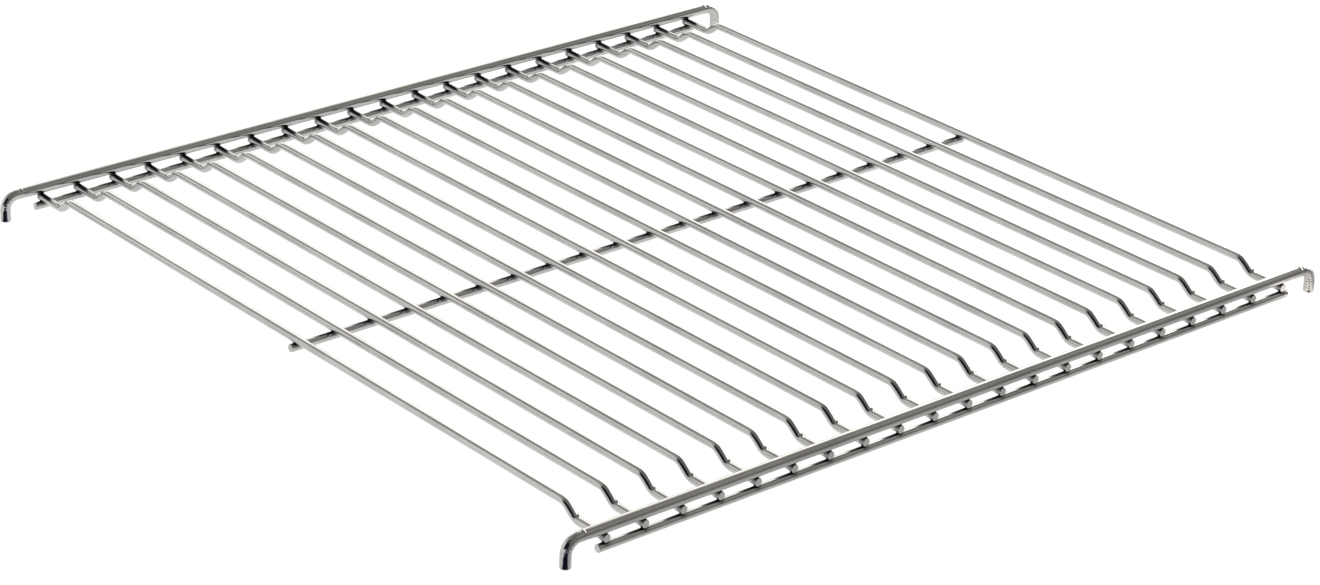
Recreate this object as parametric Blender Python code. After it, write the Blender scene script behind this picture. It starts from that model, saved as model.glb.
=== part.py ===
"""Welded wire shelf for an oven or a cold cabinet, chrome plated.

Twenty-one cross wires lie side by side and make the deck.  Each wire steps down at
both ends, so that its tails pass under two heavy rails while the deck stays level
with the rails' tops.  A lower rod runs under the tails on each side, and a centre
rod under the deck ties the wires together.  The ends of the heavy rails turn down
into four short feet, which hook into or stand on the cabinet's slides.

Metres, +Z up.  X runs along the rails, Y along the wires, and the origin is under
the middle of the shelf at the height of the feet.
"""
import math

import bpy
from mathutils import Vector

# --- driving dimensions, in metres ---------------------------------------------
WIRE_COUNT = 21
WIRE_PITCH = 0.0254            # centre to centre of neighbouring cross wires
WIRE_DIAMETER = 0.00476
RAIL_DIAMETER = 0.00635
LOWER_ROD_DIAMETER = 0.00476
CENTRE_ROD_DIAMETER = 0.00476

RAIL_SPACING = 0.537           # centre to centre of the two heavy rails
TAIL_OVERHANG = 0.002          # cross wire's tip beyond the heavy rail's centre line
FOOT_MARGIN = 0.0254           # foot's centre beyond the outermost wire's centre
LOWER_ROD_MARGIN = 0.005       # lower rod's end beyond the outermost wire's centre
CENTRE_ROD_MARGIN = 0.0035     # centre rod's end beyond the outermost wire's centre
CENTRE_ROD_OFFSET = 0.003      # centre rod's place behind the shelf's middle

FOOT_REACH = 0.0017            # feet's ends below the underside of the lower rods
DECK_RISE = 0.0004             # top of the deck above the tops of the heavy rails
FOOT_BEND_RADIUS = 0.008       # centre-line radius of the heavy rails' turned-down ends
STEP_FOOT = 0.023              # lower corner of a wire's step, in from the heavy rail
STEP_RUN = 0.0093              # length along Y of a wire's step
STEP_BEND_RADIUS = 0.009       # centre-line radius of both corners of the step

WELD_GAP = 0.0003              # clearance where two rods cross and are welded

# --- how finely round shapes are cut ---------------------------------------------
WIRE_BEVEL_STEPS = 4           # 12 sides
RAIL_BEVEL_STEPS = 6           # 16 sides
STEP_ARC_PIECES = 3
FOOT_ARC_PIECES = 7

# --- finish ---------------------------------------------------------------------
CHROME_BRIGHT = (0.64, 0.64, 0.63, 1.0)
CHROME_SHADED = (0.52, 0.52, 0.51, 1.0)
CHROME_ROUGHNESS = 0.16


class Layout:
    """Heights and places that follow from the driving dimensions."""

    wire_radius = WIRE_DIAMETER / 2
    rail_radius = RAIL_DIAMETER / 2
    lower_radius = LOWER_ROD_DIAMETER / 2
    centre_radius = CENTRE_ROD_DIAMETER / 2

    # Going down from the heavy rail's axis: the wires' tails, then the lower rods.
    tail_drop = rail_radius + WELD_GAP + wire_radius
    lower_drop = tail_drop + wire_radius + WELD_GAP + lower_radius
    rail_height = lower_drop + lower_radius + FOOT_REACH

    tail_height = rail_height - tail_drop
    lower_height = rail_height - lower_drop
    deck_height = rail_height + rail_radius + DECK_RISE - wire_radius
    centre_height = deck_height - wire_radius - WELD_GAP - centre_radius

    rail_y = RAIL_SPACING / 2
    tip_y = rail_y + TAIL_OVERHANG
    step_low_y = rail_y - STEP_FOOT
    step_high_y = step_low_y - STEP_RUN

    outer_wire_x = (WIRE_COUNT - 1) * WIRE_PITCH / 2
    foot_x = outer_wire_x + FOOT_MARGIN
    lower_end_x = outer_wire_x + LOWER_ROD_MARGIN
    centre_end_x = outer_wire_x + CENTRE_ROD_MARGIN


def clear_scene():
    """Remove whatever the start-up file holds."""
    for obj in list(bpy.data.objects):
        bpy.data.objects.remove(obj, do_unlink=True)


def chrome(name, colour):
    """A chrome plate finish on a Principled shader."""
    material = bpy.data.materials.new(name)
    material.use_nodes = True
    shader = material.node_tree.nodes["Principled BSDF"]
    shader.inputs["Base Color"].default_value = colour
    shader.inputs["Metallic"].default_value = 1.0
    shader.inputs["Roughness"].default_value = CHROME_ROUGHNESS
    material.diffuse_color = colour
    return material


def rounded_path(corners, radius, pieces):
    """Replace each inner corner of a bent rod's centre line by an arc.

    The arc touches both legs at radius * tan(turn / 2) from the corner.
    """
    path = [corners[0]]
    for before, corner, after in zip(corners, corners[1:], corners[2:]):
        leg_in = (before - corner).normalized()
        leg_out = (after - corner).normalized()
        half_angle = leg_in.angle(leg_out) / 2
        centre = corner + (leg_in + leg_out).normalized() * (radius / math.sin(half_angle))
        start = corner + leg_in * (radius / math.tan(half_angle)) - centre
        end = corner + leg_out * (radius / math.tan(half_angle)) - centre
        for index in range(pieces + 1):
            spoke = start.slerp(end, index / pieces).normalized()
            path.append(centre + spoke * radius)
    path.append(corners[-1])
    return path


def rod_curve(name, path, radius, bevel_steps):
    """Round bar along a centre line, with flat ends, as curve data."""
    curve = bpy.data.curves.new(name, "CURVE")
    curve.dimensions = "3D"
    curve.bevel_depth = radius
    curve.bevel_resolution = bevel_steps
    curve.use_fill_caps = True
    spline = curve.splines.new("POLY")
    spline.points.add(len(path) - 1)
    for point, spot in zip(spline.points, path):
        point.co = (*spot, 1.0)
    spline.use_smooth = True
    return curve


def place(name, curve, location, material):
    """Put a rod's curve in the scene under its own name."""
    obj = bpy.data.objects.new(name, curve)
    obj.location = location
    if not curve.materials:
        curve.materials.append(material)
    bpy.context.collection.objects.link(obj)


def wire_path():
    """Centre line of one cross wire: tail, step up, deck, step down, tail."""
    side = [
        Vector((0.0, Layout.tip_y, Layout.tail_height)),
        Vector((0.0, Layout.step_low_y, Layout.tail_height)),
        Vector((0.0, Layout.step_high_y, Layout.deck_height)),
    ]
    other = [Vector((corner.x, -corner.y, corner.z)) for corner in reversed(side)]
    return rounded_path(side + other, STEP_BEND_RADIUS, STEP_ARC_PIECES)


def rail_path():
    """Centre line of a heavy rail, from one foot's end to the other's."""
    corners = [
        Vector((-Layout.foot_x, 0.0, -Layout.rail_height)),
        Vector((-Layout.foot_x, 0.0, 0.0)),
        Vector((Layout.foot_x, 0.0, 0.0)),
        Vector((Layout.foot_x, 0.0, -Layout.rail_height)),
    ]
    return rounded_path(corners, FOOT_BEND_RADIUS, FOOT_ARC_PIECES)


def straight_path(half_length):
    """Centre line of a straight rod along X."""
    return [Vector((-half_length, 0.0, 0.0)), Vector((half_length, 0.0, 0.0))]


def make_cross_wires(material):
    """The deck: one named wire for each place, all of one shape."""
    curve = rod_curve("cross_wire", wire_path(), Layout.wire_radius, WIRE_BEVEL_STEPS)
    for index in range(WIRE_COUNT):
        x = index * WIRE_PITCH - Layout.outer_wire_x
        place(f"cross_wire_{index + 1:02d}", curve, (x, 0.0, 0.0), material)


def make_heavy_rails(material):
    """Front and back rails with their turned-down feet."""
    curve = rod_curve("heavy_rail", rail_path(), Layout.rail_radius, RAIL_BEVEL_STEPS)
    place("front_rail", curve, (0.0, -Layout.rail_y, Layout.rail_height), material)
    place("back_rail", curve, (0.0, Layout.rail_y, Layout.rail_height), material)


def make_straight_rods(material):
    """The two lower rods under the tails, and the centre rod under the deck."""
    lower = rod_curve("lower_rod", straight_path(Layout.lower_end_x), Layout.lower_radius,
                      WIRE_BEVEL_STEPS)
    place("front_lower_rod", lower, (0.0, -Layout.rail_y, Layout.lower_height), material)
    place("back_lower_rod", lower, (0.0, Layout.rail_y, Layout.lower_height), material)
    centre = rod_curve("centre_rod", straight_path(Layout.centre_end_x), Layout.centre_radius,
                       WIRE_BEVEL_STEPS)
    place("centre_rod", centre, (0.0, CENTRE_ROD_OFFSET, Layout.centre_height), material)


def main():
    clear_scene()
    bright = chrome("chrome_wire", CHROME_BRIGHT)
    shaded = chrome("chrome_rail", CHROME_SHADED)
    make_cross_wires(bright)
    make_heavy_rails(shaded)
    make_straight_rods(bright)


main()
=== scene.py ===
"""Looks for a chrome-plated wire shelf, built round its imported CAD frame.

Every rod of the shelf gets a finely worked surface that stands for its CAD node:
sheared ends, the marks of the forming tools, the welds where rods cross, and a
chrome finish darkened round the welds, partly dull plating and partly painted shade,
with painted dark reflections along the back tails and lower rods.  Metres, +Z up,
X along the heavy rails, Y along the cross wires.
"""
import logging
import math
from dataclasses import dataclass
from enum import Enum

import bpy
import numpy as np
from mathutils import Matrix, Vector


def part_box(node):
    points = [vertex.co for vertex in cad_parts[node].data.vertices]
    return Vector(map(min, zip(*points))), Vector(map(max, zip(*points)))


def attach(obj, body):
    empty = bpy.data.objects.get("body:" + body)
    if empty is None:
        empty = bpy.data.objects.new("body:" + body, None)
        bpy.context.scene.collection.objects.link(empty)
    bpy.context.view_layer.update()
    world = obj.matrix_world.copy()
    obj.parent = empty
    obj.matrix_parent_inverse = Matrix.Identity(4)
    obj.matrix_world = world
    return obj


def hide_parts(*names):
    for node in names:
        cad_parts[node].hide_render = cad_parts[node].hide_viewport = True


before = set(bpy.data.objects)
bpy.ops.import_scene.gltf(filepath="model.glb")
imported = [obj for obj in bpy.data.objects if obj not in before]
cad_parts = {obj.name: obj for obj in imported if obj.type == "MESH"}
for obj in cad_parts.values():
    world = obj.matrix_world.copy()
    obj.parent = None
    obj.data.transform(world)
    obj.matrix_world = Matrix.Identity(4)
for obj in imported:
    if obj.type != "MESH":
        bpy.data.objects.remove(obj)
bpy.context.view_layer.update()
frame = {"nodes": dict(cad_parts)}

log = logging.getLogger("wire_shelf")

MM = 0.001
FULL_TURN = 2.0 * math.pi
TOP = math.pi / 2.0
# Point attribute that darkens the chrome: partly dull plating at the welds, partly painted shade
# round them and painted dark reflections along rods.
DULL_PLATE_AND_SHADE = "dull_plate_and_shade"
Array = np.ndarray
Colour = tuple[float, float, float]


class Slot(Enum):
    """The record's material slots."""

    WIRE = "wire_chrome"
    RAIL = "rail_chrome"


# --- shapes ------------------------------------------------------------------------


def soft_step(value: Array, start: float, end: float) -> Array:
    """Rise smoothly from 0 at start to 1 at end.

    Args:
        value: where to read the curve.
        start: value at which the rise begins.
        end: value at which it is complete.

    Returns:
        The cubic 3t^2 - 2t^3 of the clamped share of the way.
    """
    share = np.clip((value - start) / (end - start), 0.0, 1.0)
    return share * share * (3.0 - 2.0 * share)


def hump(value: Array, centre: float, spread: float) -> Array:
    """A bell of height 1 at centre: exp(-((value - centre) / spread)^2 / 2)."""
    return np.exp(-0.5 * ((value - centre) / spread) ** 2)


def around(angle: Array, centre: float, spread: float) -> Array:
    """A bell in angle round a rod, measured the short way to its centre."""
    turn = (angle - centre + math.pi) % FULL_TURN - math.pi
    return np.exp(-0.5 * (turn / spread) ** 2)


def places_round(sides: int) -> Array:
    """Angles of evenly spaced places round a rod, from 0."""
    return np.arange(sides) * FULL_TURN / sides


def linked(name: str, data: bpy.types.ID) -> bpy.types.Object:
    """Make an object of a mesh or camera, and put it in the scene."""
    obj = bpy.data.objects.new(name, data)
    bpy.context.scene.collection.objects.link(obj)
    return obj


@dataclass(frozen=True)
class Mark:
    """A raised or sunken mark on a rod: a bell in length times a bell in angle."""

    height: float
    length: float
    middle: float
    spread: float

    def relief(self, s: Array, a: Array, at: float, size: float = 1.0, turn: float = 0.0) -> Array:
        """What the mark adds to a rod's radius.

        Args:
            s: (n, 1) lengths along the rod.
            a: (1, m) angles round the rod.
            at: length at which the mark lies.
            size: scale of its height.
            turn: angle by which it is turned from its middle.

        Returns:
            (n, m) offsets of the radius.
        """
        bell = hump(s, at, self.length) * around(a, self.middle + turn, self.spread)
        return self.height * size * bell


@dataclass(frozen=True)
class BentLine:
    """Centre line of a bent rod: straight legs joined by arcs, read by length."""

    points: Array
    lengths: Array
    bend_at: Array
    half_bend: Array

    @classmethod
    def through(cls, corners: Array, radius: float, arc_pieces: int = 90) -> "BentLine":
        """Round each inner corner with an arc that touches both of its legs.

        The arc's centre lies on the corner's bisector, radius / sin(half angle) away,
        and the arc starts radius / tan(half angle) before the corner.

        Args:
            corners: (n, 3) corners of the sharp line.
            radius: radius of each arc, on the centre line.
            arc_pieces: pieces that an arc is cut into.

        Returns:
            The rounded line.
        """
        runs = [corners[:1]]
        mids, halves = [], []
        for before, corner, after in zip(corners, corners[1:], corners[2:]):
            leg_in = (before - corner) / np.linalg.norm(before - corner)
            leg_out = (after - corner) / np.linalg.norm(after - corner)
            half = math.acos(float(np.clip(leg_in @ leg_out, -1.0, 1.0))) / 2.0
            bisector = (leg_in + leg_out) / np.linalg.norm(leg_in + leg_out)
            centre = corner + bisector * (radius / math.sin(half))
            spoke = (corner + leg_in * (radius / math.tan(half)) - centre) / radius
            turn = math.pi - 2.0 * half
            sweep = np.linspace(0.0, turn, arc_pieces + 1)[:, None]
            runs.append(centre + radius * (np.cos(sweep) * spoke - np.sin(sweep) * leg_in))
            mids.append(len(np.concatenate(runs)) - 1 - arc_pieces // 2)
            halves.append(radius * turn / 2.0)
        points = np.concatenate(runs + [corners[-1:]])
        steps = np.linalg.norm(np.diff(points, axis=0), axis=1)
        lengths = np.concatenate([[0.0], np.cumsum(steps)])
        return cls(points, lengths, lengths[mids], np.array(halves))

    @property
    def length(self) -> float:
        """Whole length of the line."""
        return float(self.lengths[-1])

    def at(self, along: Array) -> Array:
        """Points on the line at the given lengths from its start, as (n, 3)."""
        return np.stack([np.interp(along, self.lengths, axis) for axis in self.points.T], 1)

    def tangent(self, along: Array, reach: float = 0.05 * MM) -> Array:
        """Unit directions of the line at the given lengths, as (n, 3)."""
        ahead = self.at(np.minimum(along + reach, self.length))
        chord = ahead - self.at(np.maximum(along - reach, 0.0))
        return chord / np.linalg.norm(chord, axis=1, keepdims=True)

    def bending(self, along: Array) -> Array:
        """1 inside the arcs, fading to 0 on the straight legs, as (n,)."""
        inside = np.zeros_like(along)
        for mid, half in zip(self.bend_at, self.half_bend):
            away = np.abs(along - mid)
            inside = np.maximum(inside, 1.0 - soft_step(away, half * 0.6, half * 1.5))
        return inside


@dataclass
class Surface:
    """Points and faces of closed surfaces, before they become a Blender mesh."""

    points: Array
    quads: Array
    triangles: Array
    quad_uv: Array
    triangle_uv: Array

    def to_object(self, name: str, dull_plate_and_shade: Array | None = None) -> bpy.types.Object:
        """Put the surface in the scene.

        Args:
            name: name of the object and its mesh.
            dull_plate_and_shade: optional (n,) value at each point of the attribute for painted
                shade and painted dark reflections, partly dull plating.

        Returns:
            The new object, at the origin.
        """
        mesh = bpy.data.meshes.new(name)
        corners = np.concatenate([self.quads.ravel(), self.triangles.ravel()])
        quad_starts = np.arange(len(self.quads)) * 4
        triangle_starts = len(self.quads) * 4 + np.arange(len(self.triangles)) * 3
        starts = np.concatenate([quad_starts, triangle_starts])
        mesh.vertices.add(len(self.points))
        mesh.vertices.foreach_set("co", self.points.astype(np.float32).ravel())
        mesh.loops.add(len(corners))
        mesh.loops.foreach_set("vertex_index", corners.astype(np.int32))
        mesh.polygons.add(len(starts))
        mesh.polygons.foreach_set("loop_start", starts.astype(np.int32))
        mesh.polygons.foreach_set("use_smooth", np.ones(len(starts), bool))
        mesh.update(calc_edges=True)
        layer = mesh.uv_layers.new(name="rod_uv")
        uv = np.concatenate([self.quad_uv.reshape(-1, 2), self.triangle_uv.reshape(-1, 2)])
        layer.uv.foreach_set("vector", uv.astype(np.float32).ravel())
        if dull_plate_and_shade is not None:
            attribute = mesh.attributes.new(DULL_PLATE_AND_SHADE, "FLOAT", "POINT")
            attribute.data.foreach_set("value", dull_plate_and_shade.astype(np.float32))
        mesh.validate()
        return linked(name, mesh)


def closed_tube(rings: Array, first_pole: Array, last_pole: Array, along: Array) -> Surface:
    """Skin a stack of rings, and close both ends with fans to a pole.

    Faces join ring i, place j to ring i + 1, place j + 1, and the last place of a ring
    to its first.  The UV map unrolls the sides in metres, and lays the ends out round.
    The surface is turned inside out if its volume comes out negative.

    Args:
        rings: (n, m, 3) points of n rings of m places.
        first_pole: (3,) point that closes the first ring.
        last_pole: (3,) point that closes the last ring.
        along: (n,) length along the rod of each ring, for the UV map.

    Returns:
        The closed surface, faces outwards.
    """
    count, sides, _ = rings.shape
    place = np.arange(sides)
    after = (place + 1) % sides
    row = np.arange(count - 1)[:, None] * sides
    quads = np.stack([row + place, row + after, row + sides + after, row + sides + place], -1)
    points = np.concatenate([rings.reshape(-1, 3), first_pole[None], last_pole[None]])
    low, high = len(points) - 2, len(points) - 1
    end = (count - 1) * sides
    fan_low = np.stack([np.full(sides, low), after, place], -1)
    fan_high = np.stack([np.full(sides, high), end + place, end + after], -1)
    triangles = np.concatenate([fan_low, fan_high])
    quads = quads.reshape(-1, 4)

    girth = float(np.linalg.norm(np.diff(rings[count // 2], axis=0), axis=1).sum())
    across = np.stack([place, place + 1, place + 1, place], -1) / sides * girth
    lengthwise = np.stack([along[:-1], along[:-1], along[1:], along[1:]], -1)
    across, lengthwise = np.broadcast_arrays(across[None], lengthwise[:, None])
    quad_uv = np.stack([across, lengthwise], -1).reshape(-1, 4, 2)
    turn = np.stack([place, place + 1], -1) / sides * FULL_TURN
    rim, rim_next = np.moveaxis(
        np.stack([np.cos(turn), np.sin(turn)], -1) * girth / FULL_TURN, 1, 0
    )
    hub = np.zeros_like(rim)
    triangle_uv = np.concatenate(
        [np.stack([hub, rim_next, rim], 1), np.stack([hub, rim, rim_next], 1)]
    )

    a, b, c, d = (points[quads[:, k]] for k in range(4))
    p, q, r = (points[triangles[:, k]] for k in range(3))
    volume = (a * (np.cross(b, c) + np.cross(c, d))).sum() + (p * np.cross(q, r)).sum()
    if volume < 0.0:
        quads, triangles = quads[:, ::-1], triangles[:, ::-1]
        quad_uv, triangle_uv = quad_uv[:, ::-1], triangle_uv[:, ::-1]
    return Surface(points, quads, triangles, quad_uv, triangle_uv)


def merged(parts: list[Surface]) -> Surface:
    """Join several closed surfaces into one, each part's faces moved up the list."""
    offsets = np.cumsum([0] + [len(part.points) for part in parts[:-1]])
    return Surface(
        np.concatenate([part.points for part in parts]),
        np.concatenate([part.quads + k for part, k in zip(parts, offsets)]),
        np.concatenate([part.triangles + k for part, k in zip(parts, offsets)]),
        np.concatenate([part.quad_uv for part in parts]),
        np.concatenate([part.triangle_uv for part in parts]),
    )


@dataclass(frozen=True)
class ShearedEnd:
    """How a rod's end was cut: a rounded rim, then a nearly flat face."""

    rim: float = 0.35 * MM
    tilt: float = 0.03
    towards: float = TOP
    dish: float = 0.05 * MM
    rim_turns: tuple[float, ...] = (0.25, 0.5, 0.75, 1.0)
    face_shares: tuple[float, ...] = (0.94, 0.7, 0.35)

    @classmethod
    def pair(
        cls, rng: np.random.Generator, rim: float, tilt: tuple[float, float]
    ) -> "tuple[ShearedEnd, ShearedEnd]":
        """Two ends of one rod, each leaning by chance.

        Args:
            rng: source of the chance.
            rim: radius of the rounded rim.
            tilt: least and greatest lean.

        Returns:
            The cut at the rod's start and at its end.
        """
        first, second = (
            cls(rim=rim, tilt=rng.uniform(*tilt), towards=rng.uniform(0.0, FULL_TURN))
            for _ in range(2)
        )
        return first, second

    def rings(
        self, tip: Array, out: Array, side: Array, up: Array, radius: float, angle: Array
    ) -> tuple[Array, Array, Array]:
        """Rings that close a rod at its tip.

        The rim is a quarter circle of radius `rim` from the rod's side to the face, in
        equal turns.  The face is a plane that leans by `tilt` and dips by `dish`.

        Args:
            tip: (3,) middle of the end face.
            out: (3,) unit direction out of the rod.
            side: (3,) unit direction of angle 0.
            up: (3,) unit direction of angle pi / 2.
            radius: the rod's radius.
            angle: (m,) angles of the places round a ring.

        Returns:
            (k, m, 3) rings from the side inwards, the (3,) pole, and the (k,) depth of
            each ring behind the tip.
        """
        turn = np.array(self.rim_turns) * TOP
        rim_radius = radius - self.rim * (1.0 - np.cos(turn))
        rim_depth = self.rim * (1.0 - np.sin(turn))
        inner = np.array(self.face_shares)
        ring_radius = np.concatenate([rim_radius, (radius - self.rim) * inner])
        depth = np.concatenate([rim_depth, self.dish * (1.0 - inner**2)])
        spoke = np.cos(angle)[:, None] * side + np.sin(angle)[:, None] * up
        lean = -self.tilt * radius * (1.0 - np.cos(angle - self.towards)) * 0.5
        fade = np.concatenate([np.sin(turn), np.ones(len(inner))])
        shift = lean * fade[:, None] * (ring_radius / radius)[:, None]
        outwards = (shift - depth[:, None])[..., None] * out
        rings = tip + ring_radius[:, None, None] * spoke + outwards
        return rings, tip - out * self.dish, depth


def rod_surface(
    line: BentLine,
    stations: Array,
    side: Array,
    radius: float,
    relief: Array,
    drift: Array,
    angle: Array,
    ends: tuple[ShearedEnd, ShearedEnd],
) -> Surface:
    """Carry a circle along a centre line, with relief on its radius.

    At each station the circle lies across the line: centre + (radius + relief) *
    (cos(angle) * side + sin(angle) * up), where up = side x tangent.

    Args:
        line: the rod's centre line.
        stations: (n,) lengths along the line, clear of both rims.
        side: (3,) unit direction square to the plane of the line.
        radius: the rod's radius.
        relief: (n, m) what is added to the radius.
        drift: (n, 3) how far the true centre strays from the line.
        angle: (m,) angles round the rod.
        ends: the cut at the line's start and at its end.

    Returns:
        The closed rod.
    """
    centre = line.at(stations) + drift
    tangent = line.tangent(stations)
    up = np.cross(side, tangent)
    level = np.cos(angle)[None, :, None] * side
    spoke = level + np.sin(angle)[None, :, None] * up[:, None, :]
    body = centre[:, None, :] + (radius + relief)[..., None] * spoke
    caps = []
    for end, length, sign in ((ends[0], 0.0, -1.0), (ends[1], line.length, 1.0)):
        here = np.array([length])
        tip, facing = line.at(here)[0], line.tangent(here)[0]
        caps.append(end.rings(tip, facing * sign, side, np.cross(side, facing), radius, angle))
    (first, first_pole, first_depth), (last, last_pole, last_depth) = caps
    rings = np.concatenate([first[::-1], body, last])
    along = np.concatenate([first_depth[::-1], stations, line.length - last_depth])
    return closed_tube(rings, first_pole, last_pole, along)


def waviness(stations: Array, angle: Array, height: float, seed: int) -> Array:
    """Slight unevenness of drawn wire, which makes reflections wander.

    It is the mean of six waves, each a sine of length times a cosine of none to three
    turns round the rod, with seeded wavelengths and phases.

    Args:
        stations: (n,) lengths along the rod.
        angle: (m,) angles round the rod.
        height: what the mean is multiplied by.
        seed: picks the wavelengths and phases.

    Returns:
        (n, m) offsets of the radius.
    """
    rng = np.random.default_rng(seed)
    count = 6
    waves = rng.uniform(7.0 * MM, 45.0 * MM, count)
    turns = rng.integers(0, 4, count)
    phase = rng.uniform(0.0, FULL_TURN, (2, count))
    lengthwise = np.sin(FULL_TURN * stations[:, None] / waves + phase[0])
    roundwise = np.cos(turns * angle[:, None] + phase[1])
    return height / count * np.einsum("nk,mk->nm", lengthwise, roundwise)


def spaced(start: float, end: float, step: float) -> Array:
    """Evenly spaced lengths from start to end, at most `step` apart."""
    return np.linspace(start, end, max(2, math.ceil((end - start) / step) + 1))


def closeness(points: Array, contacts: Array, reach: float) -> Array:
    """How near each point is to a crossing: the sum of exp(-(distance / reach)^2).

    Args:
        points: (n, 3) points of a surface.
        contacts: (k, 3) middles of the gaps between crossing rods.
        reach: distance over which the painted shade fades.

    Returns:
        (n,) values from 0 to 1.
    """
    away = np.linalg.norm(points[:, None, :] - contacts[None], axis=2)
    return np.clip(np.exp(-((away / reach) ** 2)).sum(1), 0.0, 1.0)


def streak(gap: Array, aside: Array, length: float, spread: float) -> Array:
    """Painted dark reflection: a streak that runs from a weld along a rod, narrows and fades.

    It is exp(-(aside / width)^2) times a smooth step down over the gap's second half,
    where the width shrinks evenly from `spread` to about a quarter of it.

    Args:
        gap: distance from the weld; nothing is dark where it is negative.
        aside: distance from the streak's middle, in radii of the rod.
        length: distance at which the streak ends.
        spread: half the width at the weld, in radii of the rod.

    Returns:
        Values from 0 to 1, in the shape of gap.
    """
    away = np.clip(gap / length, 0.0, 1.0)
    band = np.exp(-((aside / (spread * (1.0 - 0.73 * away))) ** 2))
    return band * (1.0 - soft_step(away, 0.5, 1.0)) * (gap > 0.0)


# --- finishes ------------------------------------------------------------------------


@dataclass
class NodeSheet:
    """Small helper that adds and joins the nodes of one material or world."""

    tree: bpy.types.NodeTree

    def add(self, kind: str, **settings: object) -> bpy.types.Node:
        """Add a node of a kind, and set its properties by name."""
        node = self.tree.nodes.new(kind)
        for name, value in settings.items():
            setattr(node, name, value)
        return node

    def join(self, source: bpy.types.NodeSocket, target: bpy.types.NodeSocket) -> None:
        """Link an output to an input."""
        self.tree.links.new(source, target)

    def noise(
        self, vector: bpy.types.NodeSocket, scale: float, detail: float, roughness: float = 0.5
    ) -> bpy.types.NodeSocket:
        """Noise read at a vector; returns its value output."""
        node = self.add("ShaderNodeTexNoise")
        node.inputs["Scale"].default_value = scale
        node.inputs["Detail"].default_value = detail
        node.inputs["Roughness"].default_value = roughness
        self.join(vector, node.inputs["Vector"])
        return node.outputs["Fac"]

    def stretched(self, vector: bpy.types.NodeSocket, scale: Colour) -> bpy.types.NodeSocket:
        """A vector scaled on its three axes."""
        node = self.add("ShaderNodeMapping")
        node.inputs["Scale"].default_value = scale
        self.join(vector, node.inputs["Vector"])
        return node.outputs["Vector"]

    def remap(
        self, value: bpy.types.NodeSocket, span: tuple[float, float], to: tuple[float, float]
    ) -> bpy.types.NodeSocket:
        """A value carried smoothly from one span to another, and clamped."""
        node = self.add("ShaderNodeMapRange", interpolation_type="SMOOTHSTEP")
        for name, number in zip(("From Min", "From Max", "To Min", "To Max"), span + to):
            node.inputs[name].default_value = number
        self.join(value, node.inputs["Value"])
        return node.outputs["Result"]

    def mix(
        self,
        share: bpy.types.NodeSocket,
        first: bpy.types.NodeSocket | Colour,
        second: bpy.types.NodeSocket | Colour,
    ) -> bpy.types.NodeSocket:
        """Two colours mixed by a share; each is a socket or a plain colour."""
        node = self.add("ShaderNodeMix", data_type="RGBA")
        self.join(share, node.inputs[0])
        for socket, source in ((node.inputs[6], first), (node.inputs[7], second)):
            if isinstance(source, tuple):
                socket.default_value = (*source, 1.0)
            else:
                self.join(source, socket)
        return node.outputs[2]

    def math(
        self, operation: str, first: bpy.types.NodeSocket, *others: bpy.types.NodeSocket | float
    ) -> bpy.types.NodeSocket:
        """One step of arithmetic on a socket and other sockets or numbers."""
        node = self.add("ShaderNodeMath", operation=operation)
        self.join(first, node.inputs[0])
        for slot, other in zip(node.inputs[1:], others):
            if isinstance(other, float):
                slot.default_value = other
            else:
                self.join(other, slot)
        return node.outputs[0]

    def bump(
        self,
        height: bpy.types.NodeSocket,
        depth: float,
        below: bpy.types.NodeSocket | None = None,
    ) -> bpy.types.NodeSocket:
        """Surface relief of a depth in metres, stacked on the relief below it."""
        node = self.add("ShaderNodeBump")
        node.inputs["Strength"].default_value = 1.0
        node.inputs["Distance"].default_value = depth
        self.join(height, node.inputs["Height"])
        if below is not None:
            self.join(below, node.inputs["Normal"])
        return node.outputs["Normal"]


def new_finish(name: str) -> tuple[bpy.types.Material, NodeSheet]:
    """A new node material, and the sheet that adds to its nodes."""
    material = bpy.data.materials.new(name)
    material.use_nodes = True
    return material, NodeSheet(material.node_tree)


def new_metal(name: str) -> tuple[bpy.types.Material, NodeSheet, bpy.types.NodeInputs]:
    """A new metal material, its sheet, and its shader's inputs."""
    material, sheet = new_finish(name)
    shader = material.node_tree.nodes["Principled BSDF"]
    shader.inputs["Metallic"].default_value = 1.0
    return material, sheet, shader.inputs


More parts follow.
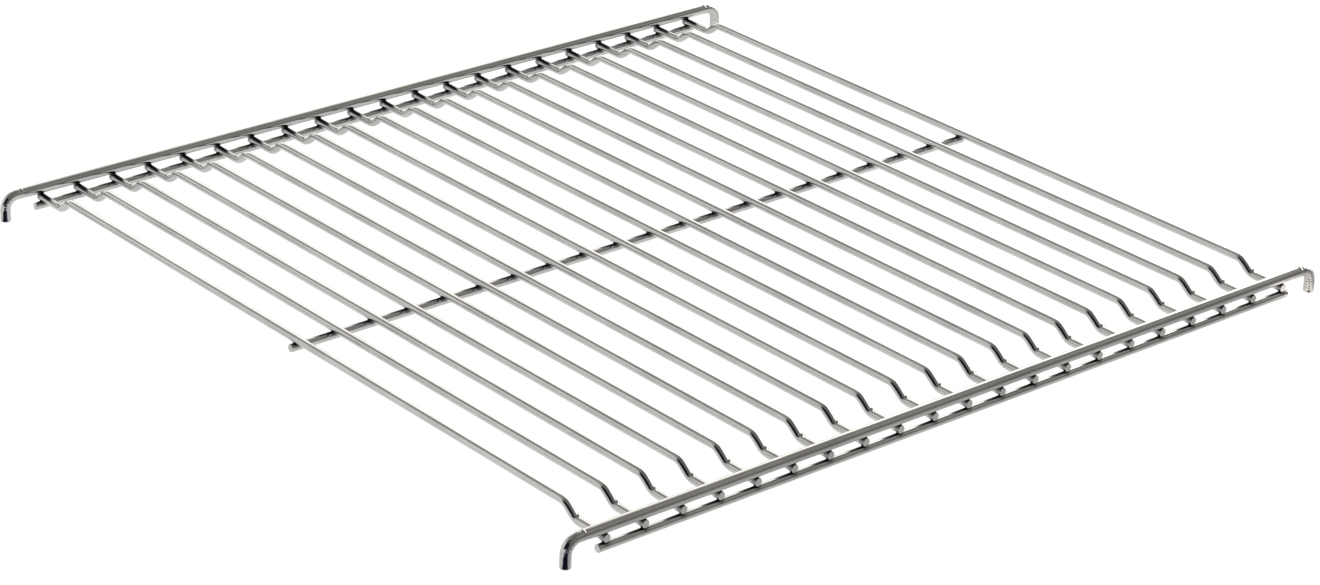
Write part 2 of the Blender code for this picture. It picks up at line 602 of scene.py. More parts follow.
@dataclass(frozen=True)
class ChromePlate:
    """Bright chrome over drawn steel wire, darkened near the welds by painted shade.

    The colour drifts slowly between clean and hazy plate, with fine mottling on top.
    Faint lines run along the rod from drawing, over a fine peel.  Near a crossing the
    plating turns dark and rough by the mesh's attribute: partly dull thin plating, partly
    painted shade between the rods, and painted dark reflections along tails and rods.
    Scales are per metre.
    """

    name: str
    clean: Colour
    haze: Colour
    # Dark colour of the attribute's marks: dull plating, painted shade and painted dark
    # reflections.
    dark_plate_and_shade: Colour = (0.010, 0.0095, 0.013)
    roughness: tuple[float, float] = (0.095, 0.13)
    crevice_roughness: float = 0.55
    mottle_scale: float = 900.0
    drift_scale: float = 28.0
    line_scale: tuple[float, float, float] = (5200.0, 60.0, 1.0)
    line_depth: float = 0.0016 * MM
    peel_scale: float = 495.0
    peel_depth: float = 0.0028 * MM

    def build(self) -> bpy.types.Material:
        """Make the node material."""
        material, sheet, inputs = new_metal(self.name)
        place = sheet.add("ShaderNodeTexCoord")
        spot = place.outputs["Object"]
        # Painted shade and painted dark reflections, partly dull plating, read from the mesh
        # attribute.
        dull_plate_and_shade = sheet.add("ShaderNodeAttribute", attribute_name=DULL_PLATE_AND_SHADE).outputs["Fac"]
        dull_plate_and_shade = sheet.remap(dull_plate_and_shade, (0.08, 0.85), (0.0, 1.0))

        mottle = sheet.noise(spot, self.mottle_scale, 3.0, 0.6)
        drift = sheet.noise(spot, self.drift_scale, 4.0, 0.55)
        hazy = sheet.remap(drift, (0.35, 0.7), (0.0, 1.0))
        plate = sheet.mix(hazy, self.clean, self.haze)
        speck = sheet.remap(mottle, (0.56, 0.74), (0.0, 0.35))
        plate = sheet.mix(speck, plate, self.haze)
        sheet.join(sheet.mix(dull_plate_and_shade, plate, self.dark_plate_and_shade), inputs["Base Color"])

        grade = sheet.add("ShaderNodeMix", data_type="FLOAT")
        sheet.join(dull_plate_and_shade, grade.inputs["Factor"])
        sheet.join(sheet.remap(mottle, (0.3, 0.7), self.roughness), grade.inputs["A"])
        grade.inputs["B"].default_value = self.crevice_roughness
        sheet.join(grade.outputs["Result"], inputs["Roughness"])

        drawn = sheet.stretched(place.outputs["UV"], self.line_scale)
        lines = sheet.bump(sheet.noise(drawn, 1.0, 2.0), self.line_depth)
        peel = sheet.noise(spot, self.peel_scale, 2.0)
        sheet.join(sheet.bump(peel, self.peel_depth, lines), inputs["Normal"])
        return material


@dataclass(frozen=True)
class WeldMetal:
    """Upset metal of a resistance weld: dark, rough and hardly plated."""

    name: str
    dark: Colour = (0.008, 0.008, 0.011)
    light: Colour = (0.05, 0.048, 0.05)
    roughness: tuple[float, float] = (0.35, 0.6)
    grain_scale: float = 1400.0
    grain_depth: float = 0.03 * MM

    def build(self) -> bpy.types.Material:
        """Make the node material."""
        material, sheet, inputs = new_metal(self.name)
        spot = sheet.add("ShaderNodeTexCoord").outputs["Object"]
        grain = sheet.noise(spot, self.grain_scale, 4.0, 0.65)
        share = sheet.remap(grain, (0.35, 0.7), (0.0, 1.0))
        sheet.join(sheet.mix(share, self.dark, self.light), inputs["Base Color"])
        sheet.join(sheet.remap(grain, (0.3, 0.7), self.roughness), inputs["Roughness"])
        sheet.join(sheet.bump(grain, self.grain_depth), inputs["Normal"])
        return material


# --- the shelf -----------------------------------------------------------------------


@dataclass(frozen=True)
class ShelfSizes:
    """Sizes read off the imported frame."""

    wire_names: tuple[str, ...]
    wire_x: Array
    wire_radius: float
    tip_y: float
    tail_height: float
    deck_height: float
    rail_radius: float
    rail_y: float
    rail_height: float
    foot_x: float
    lower_radius: float
    lower_height: float
    lower_end: float
    centre_radius: float
    centre_height: float
    centre_y: float
    centre_end: float

    @classmethod
    def from_frame(cls, nodes: dict[str, bpy.types.Object]) -> "ShelfSizes":
        """Read the boxes of the CAD nodes.

        Args:
            nodes: the frame's CAD nodes by name.

        Returns:
            The sizes, in metres.
        """
        names = tuple(sorted(name for name in nodes if name.startswith("cross_wire_")))
        boxes = [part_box(name) for name in names]
        (wire_low, wire_high), (rail_low, rail_high) = boxes[0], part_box("back_rail")
        lower_low, lower_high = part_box("back_lower_rod")
        centre_low, centre_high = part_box("centre_rod")
        wire_radius = (wire_high.x - wire_low.x) / 2.0
        rail_radius = (rail_high.y - rail_low.y) / 2.0
        lower_radius = (lower_high.z - lower_low.z) / 2.0
        centre_radius = (centre_high.z - centre_low.z) / 2.0
        return cls(
            wire_names=names,
            wire_x=np.array([(low.x + high.x) / 2.0 for low, high in boxes]),
            wire_radius=wire_radius,
            tip_y=wire_high.y,
            tail_height=wire_low.z + wire_radius,
            deck_height=wire_high.z - wire_radius,
            rail_radius=rail_radius,
            rail_y=(rail_low.y + rail_high.y) / 2.0,
            rail_height=rail_high.z - rail_radius,
            foot_x=rail_high.x - rail_radius,
            lower_radius=lower_radius,
            lower_height=lower_low.z + lower_radius,
            lower_end=lower_high.x,
            centre_radius=centre_radius,
            centre_height=centre_low.z + centre_radius,
            centre_y=(centre_low.y + centre_high.y) / 2.0,
            centre_end=centre_high.x,
        )

    def rail_contacts(self, side: float) -> Array:
        """Middles of the gaps between a heavy rail and the wires, as (n, 3)."""
        under_rail = self.rail_height - self.rail_radius
        return self._contacts(side * self.rail_y, under_rail, self.tail_height + self.wire_radius)

    def lower_contacts(self, side: float) -> Array:
        """Middles of the gaps between a lower rod and the wires, as (n, 3)."""
        on_rod = self.lower_height + self.lower_radius
        return self._contacts(side * self.rail_y, on_rod, self.tail_height - self.wire_radius)

    def centre_contacts(self) -> Array:
        """Middles of the gaps between the centre rod and the wires, as (n, 3)."""
        on_rod = self.centre_height + self.centre_radius
        return self._contacts(self.centre_y, on_rod, self.deck_height - self.wire_radius)

    def _contacts(self, y: float, height: float, other_height: float) -> Array:
        """One point for each wire, at a depth and halfway between two heights."""
        middle = (y, (height + other_height) / 2.0)
        return np.column_stack([self.wire_x, np.tile(middle, (len(self.wire_x), 1))])


def settle(
    obj: bpy.types.Object, material: bpy.types.Material, slot: Slot, *nodes: str
) -> None:
    """Finish a piece: its material, its body and the nodes it stands for.

    Args:
        obj: the piece.
        material: its finish.
        slot: not used.
        *nodes: CAD nodes that the piece replaces.
    """
    obj.data.materials.append(material)
    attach(obj, "root")
    if nodes:
        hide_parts(*nodes)
    log.info("%s: %d faces", obj.name, len(obj.data.polygons))


@dataclass(frozen=True)
class CrossWires:
    """The deck's stepped wires."""

    sizes: ShelfSizes
    finish: bpy.types.Material
    sides: int = 24
    step_foot: float = 23.0 * MM
    step_run: float = 9.3 * MM
    bend_radius: float = 9.0 * MM
    rim: float = 0.4 * MM
    tilt: tuple[float, float] = (0.0, 0.09)
    fine: float = 0.35 * MM
    tail_pitch: float = 1.2 * MM
    coarse: float = 6.0 * MM
    bend_clear: float = 5.0 * MM
    nick_clear: float = 2.0 * MM
    burr: Mark = Mark(0.72 * MM, 0.8 * MM, 0.95, 0.5)
    burr_inboard: float = 0.25 * MM
    dent: Mark = Mark(-0.10 * MM, 0.8 * MM, 0.95, 0.5)
    dent_inboard: float = 1.6 * MM
    crease: Mark = Mark(-0.42 * MM, 1.1 * MM, TOP, 0.8)
    nick: Mark = Mark(0.17 * MM, 0.32 * MM, 1.0, 0.32)
    nick_inboard: float = 8.6 * MM
    nick_gap: float = 1.9 * MM
    slope_nick: Mark = Mark(0.221 * MM, 0.4 * MM, 1.0, 0.32)
    slope_nick_inboard: float = 8.2 * MM
    size_range: tuple[float, float] = (0.75, 1.2)
    shift_range: float = 0.25 * MM
    flattening: float = 0.10 * MM
    bow: float = 0.28 * MM
    lift: float = 0.098 * MM
    bow_clear: float = 12.0 * MM
    wave: float = 0.02 * MM
    # Painted shade round each weld, partly dull plating: its reach, and how much of it the end
    # faces keep.
    plate_shade_reach: float = 2.9 * MM
    face_depth: float = 0.25 * MM
    face_plate_shade: float = 0.12
    # Painted dark reflection along the top of the back tail.
    reflection_length: float = 17.0 * MM
    reflection_spread: float = 0.75
    reflection_aside: float = 0.15
    reflection_descent: float = 0.5

    def centre_line(self) -> BentLine:
        """Tail, step up, deck, step down and tail, from the front tip to the back."""
        size = self.sizes
        low_y = size.rail_y - self.step_foot
        high_y = low_y - self.step_run
        back = [(high_y, size.deck_height), (low_y, size.tail_height),
                (size.tip_y, size.tail_height)]
        front = [(-y, z) for y, z in reversed(back)]
        corners = np.array([(0.0, y, z) for y, z in front + back])
        return BentLine.through(corners, self.bend_radius)

    def stations(self, line: BentLine) -> Array:
        """Lengths at which rings lie: close together in the steps, wide on the deck."""
        low_front, high_front, high_back, low_back = line.bend_at
        near = self.nick_inboard + self.nick_gap + self.nick_clear
        tail_end, tail_start = low_front - self.bend_clear, low_back + self.bend_clear
        runs = [
            spaced(self.rim, tail_end, self.tail_pitch),
            spaced(tail_end, high_front + near, self.fine),
            spaced(high_front + near, high_back - near, self.coarse),
            spaced(high_back - near, tail_start, self.fine),
            spaced(tail_start, line.length - self.rim, self.tail_pitch),
        ]
        return np.unique(np.concatenate(runs))

    def relief(self, line: BentLine, stations: Array, angle: Array, seed: int) -> Array:
        """What forming leaves on the wire.

        A burr across the inside of the front lower bend with a dent on its slope side,
        a crease across the inside of the back one, two nicks on top of the deck before
        the front step, one on the back step's slope, and a slight flattening of the
        section in every bend.  All marks but the dent differ in size from wire to wire.

        Args:
            line: the wire's centre line.
            stations: (n,) lengths of the rings.
            angle: (m,) angles round the wire.
            seed: the wire's own variation.

        Returns:
            (n, m) offsets of the radius.
        """
        rng = np.random.default_rng(100 + seed)
        low_front, high_front, _, low_back = line.bend_at
        s, a = stations[:, None], angle[None, :]
        size = rng.uniform(*self.size_range, 6)
        shift = rng.uniform(-self.shift_range, self.shift_range, 6)
        burr_at = low_front + self.burr_inboard + shift[0]
        nick_at = high_front + self.nick_inboard
        slope_at = low_back - self.slope_nick_inboard + shift[4]
        out = self.burr.relief(s, a, burr_at, size[0])
        out += self.dent.relief(s, a, burr_at + self.dent_inboard)
        out += self.crease.relief(s, a, low_back + shift[1], size[1])
        out += self.nick.relief(s, a, nick_at + shift[2], size[2])
        out += self.nick.relief(s, a, nick_at + self.nick_gap + shift[3], size[3])
        out += self.slope_nick.relief(s, a, slope_at, size[4])
        out -= self.flattening * line.bending(stations)[:, None] * np.sin(a) ** 2
        return out + waviness(stations, angle, self.wave, 200 + seed)

    def drift(self, line: BentLine, stations: Array, seed: int) -> Array:
        """How far a wire is from straight: a squared sine across and a whole sine up.

        Both vanish at the steps, and the second nearly so at the centre rod, so the
        wire stays on its welds.

        Args:
            line: the wire's centre line.
            stations: (n,) lengths of the rings.
            seed: the wire's own variation.

        Returns:
            (n, 3) offsets of the centre.
        """
        rng = np.random.default_rng(300 + seed)
        start, end = line.bend_at[1] + self.bow_clear, line.bend_at[2] - self.bow_clear
        share = np.clip((stations - start) / (end - start), 0.0, 1.0)
        across = self.bow * rng.uniform(-1.0, 1.0) * np.sin(math.pi * share) ** 2
        upward = self.lift * rng.uniform(-1.0, 1.0) * np.sin(FULL_TURN * share)
        return np.stack([across, np.zeros_like(across), upward], 1)

    def painted_dark_reflection(self, points: Array, x: float) -> Array:
        """Painted dark reflection along the top of the back tail, inwards of the rail.

        Its middle starts on top and moves down the near side.

        Args:
            points: (n, 3) points of one wire.
            x: the wire's place along X.

        Returns:
            (n,) values from 0 to 1.
        """
        size = self.sizes
        gap = size.rail_y - points[:, 1]
        down = self.reflection_descent * np.clip(gap / self.reflection_length, 0.0, 1.0)
        aside = (points[:, 0] - x) / size.wire_radius + self.reflection_aside + down
        dark = streak(gap, aside, self.reflection_length, self.reflection_spread)
        return np.where(points[:, 2] > size.tail_height, dark, 0.0)

    def build(self) -> None:
        """Make every wire at its own place along X."""
        size = self.sizes
        line = self.centre_line()
        stations, angle = self.stations(line), places_round(self.sides)
        rows = [size.rail_contacts(-1.0), size.rail_contacts(1.0), size.lower_contacts(-1.0),
                size.lower_contacts(1.0), size.centre_contacts()]
        for index, (name, x) in enumerate(zip(size.wire_names, size.wire_x)):
            rng = np.random.default_rng(400 + index)
            surface = rod_surface(
                line, stations, np.array([1.0, 0.0, 0.0]), size.wire_radius,
                self.relief(line, stations, angle, index),
                self.drift(line, stations, index), angle,
                ShearedEnd.pair(rng, self.rim, self.tilt),
            )
            points = surface.points
            points[:, 0] += x
            own = np.stack([row[index] for row in rows])
            # Painted shade round the welds, partly dull plating, then the painted dark reflection
            # on the back tail.
            dull_plate_and_shade = closeness(points, own, self.plate_shade_reach)
            dull_plate_and_shade = np.maximum(dull_plate_and_shade, self.painted_dark_reflection(points, x))
            on_face = np.abs(points[:, 1]) > size.tip_y - self.face_depth
            dull_plate_and_shade = np.where(on_face, dull_plate_and_shade * self.face_plate_shade, dull_plate_and_shade)
            piece = surface.to_object(f"deck_wire_{index + 1:02d}", dull_plate_and_shade)
            settle(piece, self.finish, Slot.WIRE, name)


@dataclass(frozen=True)
class HeavyRails:
    """The two heavy rails, whose ends turn down into feet."""

    sizes: ShelfSizes
    finish: bpy.types.Material
    sides: int = 32
    bend_radius: float = 8.0 * MM
    rim: float = 0.45 * MM
    fine: float = 0.3 * MM
    coarse: float = 6.0 * MM
    lip: Mark = Mark(0.24 * MM, 0.42 * MM, TOP, 0.95)
    lip_before: float = 2.6 * MM
    lip_shift: float = 0.4 * MM
    lip_clear: float = 3.0 * MM
    groove: Mark = Mark(-0.09 * MM, 0.5 * MM, TOP, 0.95)
    groove_beside: float = 1.1 * MM
    foot_scuff: Mark = Mark(-0.10 * MM, 0.3 * MM, 0.0, 0.5)
    scuff_below: float = 3.4 * MM
    wrinkle_height: float = 0.15 * MM
    wrinkle_pitch: float = 2.1 * MM
    wrinkle_skew: float = 1.3
    wrinkle_spread: float = 1.35
    wrinkle_reach: float = 0.75
    flattening: float = 0.22 * MM
    wave: float = 0.016 * MM
    # Reach of the painted shade round each weld, partly dull plating.
    plate_shade_reach: float = 3.0 * MM

    def centre_line(self) -> BentLine:
        """Up the left foot, along the rail, and down the right foot."""
        x, top = self.sizes.foot_x, self.sizes.rail_height
        corners = [(-x, 0.0, 0.0), (-x, 0.0, top), (x, 0.0, top), (x, 0.0, 0.0)]
        return BentLine.through(np.array(corners), self.bend_radius)

    def stations(self, line: BentLine) -> Array:
        """Lengths at which rings lie: close together in the bends."""
        left, right = line.bend_at
        reach = line.half_bend[0] + self.lip_before + self.lip_clear
        runs = [
            spaced(self.rim, left + reach, self.fine),
            spaced(left + reach, right - reach, self.coarse),
            spaced(right - reach, line.length - self.rim, self.fine),
        ]
        return np.unique(np.concatenate(runs))

    def relief(self, line: BentLine, stations: Array, angle: Array, seed: int) -> Array:
        """What bending leaves on the rail.

        A lip over the top where the bending die gripped, with a groove beside it, fine
        wrinkles inside each bend, a scuff on each foot, and a flattened outside.  The
        wrinkles are a sine of length, skewed round the rail, under a bell at the bend.

        Args:
            line: the rail's centre line.
            stations: (n,) lengths of the rings.
            angle: (m,) angles round the rail; pi / 2 is the outside of the bends.
            seed: the rail's own variation.

        Returns:
            (n, m) offsets of the radius.
        """
        rng = np.random.default_rng(500 + seed)
        s, a = stations[:, None], angle[None, :]
        inside = around(a, -TOP, self.wrinkle_spread)
        out = np.zeros((len(stations), len(angle)))
        for place, half, inboard in zip(line.bend_at, line.half_bend, (1.0, -1.0)):
            shift = rng.uniform(-self.lip_shift, self.lip_shift)
            lip_at = place + inboard * (half + self.lip_before) + shift
            out += self.lip.relief(s, a, lip_at)
            out += self.groove.relief(s, a, lip_at - inboard * self.groove_beside)
            phase = rng.uniform(0.0, FULL_TURN)
            ripple = FULL_TURN * s / self.wrinkle_pitch + phase + self.wrinkle_skew * np.sin(a)
            bend = hump(s, place, half * self.wrinkle_reach) * inside
            out += self.wrinkle_height * bend * np.sin(ripple)
            scuff_at = place - inboard * (half + self.scuff_below)
            out += self.foot_scuff.relief(s, a, scuff_at, turn=rng.uniform(0.0, 6.0))
        flat = line.bending(stations)[:, None]
        out -= self.flattening * flat * np.maximum(np.sin(a), 0.0) ** 2
        return out + waviness(stations, angle, self.wave, 600 + seed)

    def build(self) -> None:
        """Make the front rail and the back one."""
        size = self.sizes
        line = self.centre_line()
        stations, angle = self.stations(line), places_round(self.sides)
        foot = ShearedEnd(rim=self.rim, tilt=0.0)
        rails = (("front_bar", "front_rail", -1.0), ("back_bar", "back_rail", 1.0))
        for seed, (name, node, side) in enumerate(rails):
            surface = rod_surface(
                line, stations, np.array([0.0, -1.0, 0.0]), size.rail_radius,
                self.relief(line, stations, angle, seed),
                np.zeros((len(stations), 3)), angle, (foot, foot),
            )
            surface.points[:, 1] += side * size.rail_y
            # Painted shade round the welds, partly dull plating.
            dull_plate_and_shade = closeness(surface.points, size.rail_contacts(side), self.plate_shade_reach)
            settle(surface.to_object(name, dull_plate_and_shade), self.finish, Slot.RAIL, node)


@dataclass(frozen=True)
class StraightRods:
    """The lower rods under the tails, and the centre rod under the deck."""

    sizes: ShelfSizes
    finish: bpy.types.Material
    sides: int = 24
    rim: float = 0.4 * MM
    tilt: tuple[float, float] = (0.02, 0.08)
    coarse: float = 2.0 * MM
    wave: float = 0.018 * MM
    # Reach of the painted shade round each weld, partly dull plating.
    plate_shade_reach: float = 2.9 * MM
    # Painted dark reflection towards -X along the rod's top.
    reflection_length: float = 17.0 * MM
    reflection_spread: float = 0.47
    reflection_aside: float = 0.12

    def rod(self, half: float, y: float, height: float, radius: float, seed: int) -> Surface:
        """One straight rod along X.

        Args:
            half: half its length.
            y: its place across the shelf.
            height: height of its axis.
            radius: its radius.
            seed: its own variation.

        Returns:
            The closed rod.
        """
        line = BentLine.through(np.array([(-half, y, height), (half, y, height)]), 1.0)
        stations = spaced(self.rim, line.length - self.rim, self.coarse)
        angle = places_round(self.sides)
        return rod_surface(
            line, stations, np.array([0.0, -1.0, 0.0]), radius,
            waviness(stations, angle, self.wave, 800 + seed),
            np.zeros((len(stations), 3)), angle,
            ShearedEnd.pair(np.random.default_rng(700 + seed), self.rim, self.tilt),
        )

    def dull_plate_and_shade(self, points: Array, contacts: Array, radius: float) -> Array:
        """Painted shade round each weld, partly dull plating, with a painted dark reflection
        towards -X along the rod's top.

        Args:
            points: (n, 3) points of one rod.
            contacts: (k, 3) middles of its gaps to the wires.
            radius: the rod's radius.

        Returns:
            (n,) values from 0 to 1.
        """
        gap = contacts[None, :, 0] - points[:, None, 0]
        aside = (points[:, 1] - contacts[0, 1]) / radius + self.reflection_aside
        dark = streak(gap, aside[:, None], self.reflection_length, self.reflection_spread).max(1)
        clear_of_end = points[:, 0] > points[:, 0].min() + self.rim
        on_top = clear_of_end & (points[:, 2] > contacts[0, 2] - radius)
        near = closeness(points, contacts, self.plate_shade_reach)
        return np.maximum(near, np.where(on_top, dark, 0.0))

    def build(self) -> None:
        """Make the three rods."""
        size = self.sizes
        lower = (size.lower_height, size.lower_radius)
        rods = (
            ("front_under_rod", "front_lower_rod", size.lower_end, -size.rail_y, *lower,
             size.lower_contacts(-1.0)),
            ("back_under_rod", "back_lower_rod", size.lower_end, size.rail_y, *lower,
             size.lower_contacts(1.0)),
            ("middle_rod", "centre_rod", size.centre_end, size.centre_y, size.centre_height,
             size.centre_radius, size.centre_contacts()),
        )
        for seed, (name, node, half, y, height, radius, contacts) in enumerate(rods):
            surface = self.rod(half, y, height, radius, seed)
            dull_plate_and_shade = self.dull_plate_and_shade(surface.points, contacts, radius)
            settle(surface.to_object(name, dull_plate_and_shade), self.finish, Slot.WIRE, node)


@dataclass(frozen=True)
class WeldBeads:
    """Metal squeezed out where two rods cross and are welded."""

    sizes: ShelfSizes
    finish: bpy.types.Material
    sides: int = 12
    reach: float = 1.75 * MM
    reach_range: tuple[float, float] = (0.88, 1.12)
    two_lobes: float = 0.10
    three_lobes: float = 0.07
    waist: float = 0.74
    half_gap: float = 0.15 * MM
    sink: float = 0.22 * MM
    ring_shares: tuple[float, ...] = (0.0, 0.3, 0.7, 1.0)

    def beads(
        self, contacts: Array, upper: float, lower: float, upper_along_x: bool, seed: int
    ) -> Surface:
        """The beads of one row of crossings.

        Round each contact, rings run from the upper rod's underside to the lower rod's
        top: height = (1 - t) * underside + t * top, with underside = upper - sqrt(upper^2
        - d^2) for d square to the upper rod, and the top alike, both sunk into the rods.
        The ring's radius narrows to `waist` halfway, and has two and three faint lobes.

        Args:
            contacts: (k, 3) middles of the gaps.
            upper: radius of the upper rod.
            lower: radius of the lower rod.
            upper_along_x: True if the upper rod runs along X, False if along Y.
            seed: the row's own variation.

        Returns:
            All beads of the row.
        """
        rng = np.random.default_rng(900 + seed)
        angle = places_round(self.sides)
        share = np.array(self.ring_shares)[:, None]
        narrow = 1.0 - (1.0 - self.waist) * np.sin(math.pi * share)
        pole = np.array([0.0, 0.0, self.half_gap + self.sink])
        parts = []
        for middle in contacts:
            lobes = self.two_lobes * np.sin(2.0 * angle + rng.uniform(0.0, 6.0))
            lobes = lobes + self.three_lobes * np.sin(3.0 * angle + rng.uniform(0.0, 6.0))
            radius = self.reach * rng.uniform(*self.reach_range) * narrow * (1.0 + lobes)
            x, y = radius * np.cos(angle), radius * np.sin(angle)
            across_upper, across_lower = (y, x) if upper_along_x else (x, y)
            top = pole[2] + upper - np.sqrt(upper**2 - across_upper**2)
            bottom = np.sqrt(lower**2 - across_lower**2) - lower - pole[2]
            z = (1.0 - share) * top + share * bottom
            rings = np.stack([x, y, z], -1) + middle
            parts.append(
                closed_tube(rings, middle + pole, middle - pole, share[:, 0] * self.reach)
            )
        return merged(parts)

    def build(self) -> None:
        """Make the beads of all five rows."""
        size = self.sizes
        on_rail = (size.rail_radius, size.wire_radius, True)
        on_lower = (size.wire_radius, size.lower_radius, False)
        on_centre = (size.wire_radius, size.centre_radius, False)
        rows = (
            ("front_bar_welds", size.rail_contacts(-1.0), on_rail),
            ("back_bar_welds", size.rail_contacts(1.0), on_rail),
            ("front_rod_welds", size.lower_contacts(-1.0), on_lower),
            ("back_rod_welds", size.lower_contacts(1.0), on_lower),
            ("middle_rod_welds", size.centre_contacts(), on_centre),
        )
        for seed, (name, contacts, crossing) in enumerate(rows):
            surface = self.beads(contacts, *crossing, seed)
            settle(surface.to_object(name), self.finish, Slot.WIRE)


# --- studio --------------------------------------------------------------------------


@dataclass(frozen=True)
class SoftPanel:
    """A soft-edged panel on the dome round the shelf, lit or dark.

    Angles are in degrees: azimuth from +Y towards +X, elevation above the horizon.
    Each pair of them gives where the panel is full and where it has faded out.
    """

    azimuth: float
    half_width: tuple[float, float]
    top: tuple[float, float]
    bottom: tuple[float, float]
    glow: Colour


@dataclass(frozen=True)
class TableSpot:
    """A round lit or dark patch on the mirrored table, near one of the feet.

    The middle is in metres.  The edge, in millimetres from it, gives where the patch is
    full and where it has faded out.
    """

    middle: tuple[float, float]
    edge: tuple[float, float]
    glow: Colour


def rad(pair: tuple[float, float]) -> tuple[float, float]:
    """Two angles from degrees to radians."""
    return math.radians(pair[0]), math.radians(pair[1])


def glowing(name: str, glow: Colour) -> bpy.types.Material:
    """A stage material that only gives out light."""
    material, sheet = new_finish(name)
    light = sheet.add("ShaderNodeEmission")
    light.inputs["Color"].default_value = (*glow, 1.0)
    output = material.node_tree.nodes["Material Output"]
    sheet.join(light.outputs["Emission"], output.inputs["Surface"])
    return material


def sheet_object(name: str, points: Array, material: bpy.types.Material, seen: bool) -> None:
    """Make a stage sheet from a grid of points.

    Args:
        name: its name.
        points: (n, m, 3) grid.
        material: what it gives out.
        seen: True if only the camera sees it, False if only reflections do.
    """
    n, m, _ = points.shape
    corner = (np.arange(n - 1)[:, None] * m + np.arange(m - 1)).reshape(-1, 1)
    faces = corner + np.array([0, m, m + 1, 1])
    mesh = bpy.data.meshes.new(name)
    mesh.from_pydata(points.reshape(-1, 3).tolist(), [], faces.tolist())
    mesh.materials.append(material)
    obj = linked(name, mesh)
    obj.visible_camera = seen
    obj.visible_glossy = obj.visible_diffuse = not seen
    obj.visible_shadow = False


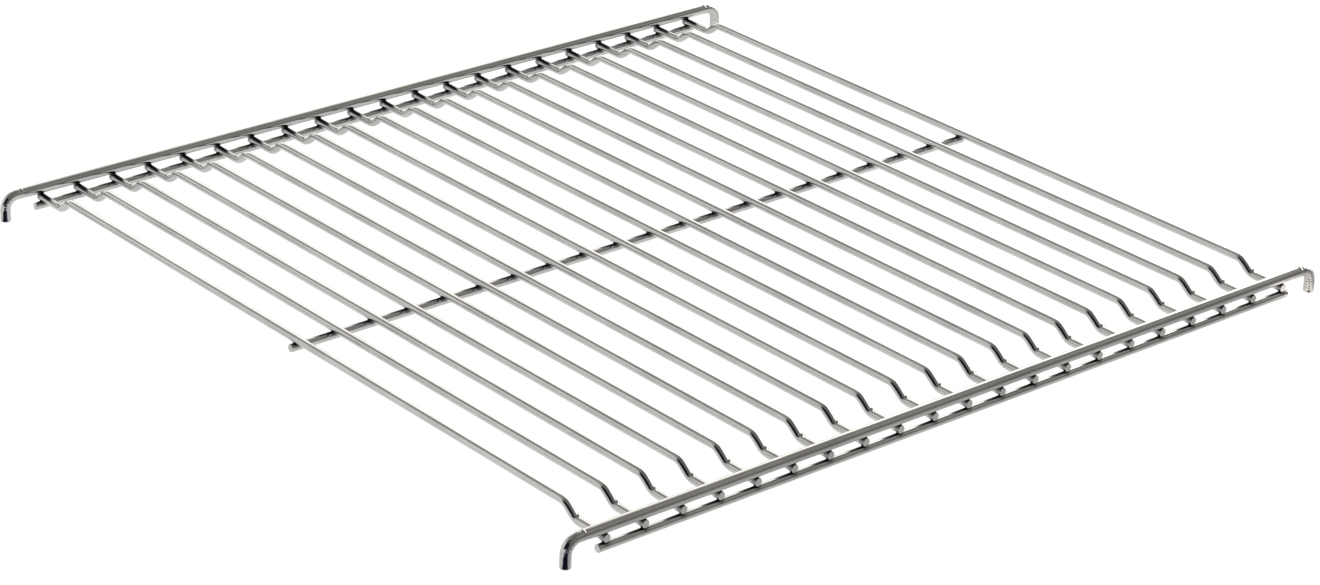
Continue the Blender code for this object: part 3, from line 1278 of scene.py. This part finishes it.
@dataclass(frozen=True)
class Studio:
    """A white table under a dome of soft panels.

    The table has two sheets: the plain white one that is seen, and a shaded one that
    only the chrome mirrors.  The shaded one is darker in front, where the room is
    unlit, with dark patches by the left feet and lit ones by the right feet.  A later
    panel or patch lies over an earlier one.
    """

    base: Colour = (0.275, 0.266, 0.255)
    floor_half: float = 14.0
    floor_glow: float = 1.02
    mirror_near: Colour = (1.12, 1.115, 1.10)
    mirror_front: Colour = (0.74, 0.73, 0.715)
    mirror_far: Colour = (0.32, 0.315, 0.31)
    front_edge: tuple[float, float] = (-0.265, -0.280)
    far_edge: tuple[float, float] = (-0.283, -0.36)
    sheet_gap: float = 0.2 * MM
    spots: tuple[TableSpot, ...] = (
        TableSpot((-0.3348, -0.3331), (46.0, 66.0), (0.03, 0.03, 0.06)),
        TableSpot((-0.2938, -0.2852), (11.5, 19.0), (0.008, 0.009, 0.030)),
        TableSpot((-0.2850, -0.2749), (3.9, 8.0), (0.008, 0.009, 0.030)),
        TableSpot((-0.3270, 0.2129), (30.0, 42.0), (0.03, 0.03, 0.06)),
        TableSpot((-0.2938, 0.2518), (11.5, 19.0), (0.008, 0.009, 0.030)),
        TableSpot((-0.2850, 0.2621), (3.9, 8.0), (0.008, 0.009, 0.030)),
        TableSpot((0.2710, -0.2780), (9.0, 17.0), (1.70, 1.64, 1.50)),
        TableSpot((0.2710, 0.2580), (9.0, 17.0), (1.45, 1.45, 1.40)),
        TableSpot((0.2762, -0.2723), (1.2, 3.2), (0.05, 0.05, 0.06)),
        TableSpot((0.2719, -0.2773), (1.5, 4.0), (0.05, 0.05, 0.06)),
        TableSpot((0.2684, 0.2556), (2.0, 4.5), (0.02, 0.03, 0.09)),
    )
    panels: tuple[SoftPanel, ...] = (
        SoftPanel(128.0, (16.0, 62.0), (44.0, 66.0), (28.0, 14.0), (0.44, 0.43, 0.41)),
        SoftPanel(-15.0, (30.0, 55.0), (66.0, 76.0), (51.0, 42.0), (0.54, 0.53, 0.51)),
        SoftPanel(-35.0, (60.0, 85.0), (12.0, 44.0), (-12.0, -14.0), (1.18, 1.175, 1.17)),
        SoftPanel(-62.0, (34.0, 58.0), (21.0, 58.0), (-12.0, -14.0), (1.20, 1.20, 1.20)),
        SoftPanel(58.0, (10.0, 28.0), (62.0, 72.0), (45.0, 39.0), (0.70, 0.68, 0.64)),
        SoftPanel(24.5, (14.5, 23.0), (33.0, 47.0), (-12.0, -14.0), (2.05, 1.99, 1.88)),
        SoftPanel(76.0, (29.0, 36.5), (35.0, 43.5), (-12.0, -14.0), (3.40, 3.29, 3.09)),
        SoftPanel(-140.0, (7.0, 17.0), (18.0, 32.0), (-3.0, -6.0), (0.02, 0.02, 0.035)),
        SoftPanel(-100.0, (27.0, 44.0), (50.0, 66.0), (15.0, 5.0), (0.012, 0.012, 0.03)),
    )

    def dome(self) -> None:
        """Make the world: a base colour with each panel mixed over the last.

        A panel's share is the product of its fall-off in azimuth, above and below, each
        a smooth step of the angle read off the direction: azimuth = atan2(x, y) and
        elevation = asin(z).
        """
        world = bpy.data.worlds.new("studio_dome")
        bpy.context.scene.world = world
        world.use_nodes = True
        sheet = NodeSheet(world.node_tree)
        axes = sheet.add("ShaderNodeSeparateXYZ")
        sheet.join(sheet.add("ShaderNodeTexCoord").outputs["Generated"], axes.inputs[0])
        azimuth = sheet.math("ARCTAN2", axes.outputs["X"], axes.outputs["Y"])
        elevation = sheet.math("ARCSINE", axes.outputs["Z"])
        colour: bpy.types.NodeSocket | Colour = self.base
        for panel in self.panels:
            aside = sheet.math("SUBTRACT", azimuth, math.radians(panel.azimuth))
            aside = sheet.math("ABSOLUTE", sheet.math("WRAP", aside, math.pi, -math.pi))
            share = sheet.remap(aside, rad(panel.half_width), (1.0, 0.0))
            for edge in (panel.top, panel.bottom):
                low, high = sorted(edge)
                ends = (1.0, 0.0) if edge[0] < edge[1] else (0.0, 1.0)
                part = sheet.remap(elevation, rad((low, high)), ends)
                share = sheet.math("MULTIPLY", share, part)
            colour = sheet.mix(share, colour, panel.glow)
        sheet.join(colour, world.node_tree.nodes["Background"].inputs["Color"])

    def mirrored(self) -> bpy.types.Material:
        """What the chrome sees of the table: bright under the shelf, darker in front.

        Two smooth steps along Y darken it, then each patch is mixed over by a smooth
        step of the distance from its middle.

        Returns:
            The material, shaded by Object coordinates.
        """
        material = glowing("mirrored_table", self.mirror_near)
        sheet = NodeSheet(material.node_tree)
        axes = sheet.add("ShaderNodeSeparateXYZ")
        place = sheet.add("ShaderNodeTexCoord").outputs["Object"]
        sheet.join(place, axes.inputs[0])
        y = axes.outputs["Y"]
        front = sheet.remap(y, self.front_edge[::-1], (1.0, 0.0))
        far = sheet.remap(y, self.far_edge[::-1], (1.0, 0.0))
        shade = sheet.mix(front, self.mirror_near, self.mirror_front)
        shade = sheet.mix(far, shade, self.mirror_far)
        for spot in self.spots:
            away = sheet.add("ShaderNodeVectorMath", operation="DISTANCE")
            sheet.join(place, away.inputs[0])
            away.inputs[1].default_value = (*spot.middle, -self.sheet_gap)
            full, none = (radius * MM for radius in spot.edge)
            share = sheet.remap(away.outputs["Value"], (full, none), (1.0, 0.0))
            shade = sheet.mix(share, shade, spot.glow)
        sheet.join(shade, material.node_tree.nodes["Emission"].inputs["Color"])
        return material

    def table(self) -> None:
        """Lay the sheet that is seen, and the one that is mirrored just under it."""
        edge = np.linspace(-self.floor_half, self.floor_half, 5)
        x, y = np.meshgrid(edge, edge, indexing="ij")
        level = np.stack([x, y, np.zeros_like(x)], -1)
        white = glowing("white_table", (self.floor_glow,) * 3)
        sheet_object("floor", level, white, seen=True)
        mirrored = level - (0.0, 0.0, self.sheet_gap)
        sheet_object("floor_mirrored", mirrored, self.mirrored(), seen=False)

    def build(self) -> None:
        """Make the dome and the table, and show colours as they are."""
        self.dome()
        self.table()
        bpy.context.scene.view_settings.view_transform = "Standard"


@dataclass(frozen=True)
class Viewpoint:
    """Where the camera stands, by angles round the point that it looks at."""

    azimuth: float = -40.593
    elevation: float = 24.722
    roll: float = 1.738
    distance: float = 2.2552
    aim: tuple[float, float, float] = (-0.0052, -0.0151, -0.0173)
    lens: float = 103.93
    sensor: float = 36.0
    clip: tuple[float, float] = (0.05, 100.0)

    def build(self) -> None:
        """Make the camera and give it to the scene.

        Its back points from the aim to the camera, its right lies level, and both right
        and up are then turned by the roll.
        """
        a, e, r = (math.radians(v) for v in (self.azimuth, self.elevation, self.roll))
        back = Vector((math.sin(a) * math.cos(e), -math.cos(a) * math.cos(e), math.sin(e)))
        level = Vector((math.cos(a), math.sin(a), 0.0))
        upright = back.cross(level)
        right = math.cos(r) * level + math.sin(r) * upright
        up = math.cos(r) * upright - math.sin(r) * level
        data = bpy.data.cameras.new("camera")
        data.lens = self.lens
        data.sensor_width = self.sensor
        data.clip_start, data.clip_end = self.clip
        camera = linked("camera", data)
        turn = Matrix((right, up, back)).transposed().to_4x4()
        camera.matrix_world = Matrix.Translation(Vector(self.aim) + back * self.distance) @ turn
        bpy.context.scene.camera = camera


def main() -> None:
    """Build the shelf, the studio and the camera."""
    logging.basicConfig(level=logging.INFO, format="%(name)s: %(message)s")
    sizes = ShelfSizes.from_frame(frame["nodes"])
    wire_chrome = ChromePlate("bright_chrome", (0.47, 0.468, 0.46), (0.40, 0.398, 0.392))
    rail_chrome = ChromePlate("rail_chrome", (0.45, 0.448, 0.44), (0.385, 0.383, 0.377))
    wire_finish, rail_finish = wire_chrome.build(), rail_chrome.build()
    CrossWires(sizes, wire_finish).build()
    HeavyRails(sizes, rail_finish).build()
    StraightRods(sizes, wire_finish).build()
    WeldBeads(sizes, WeldMetal("weld_metal").build()).build()
    Studio().build()
    Viewpoint().build()


if __name__ == "__main__":
    main()
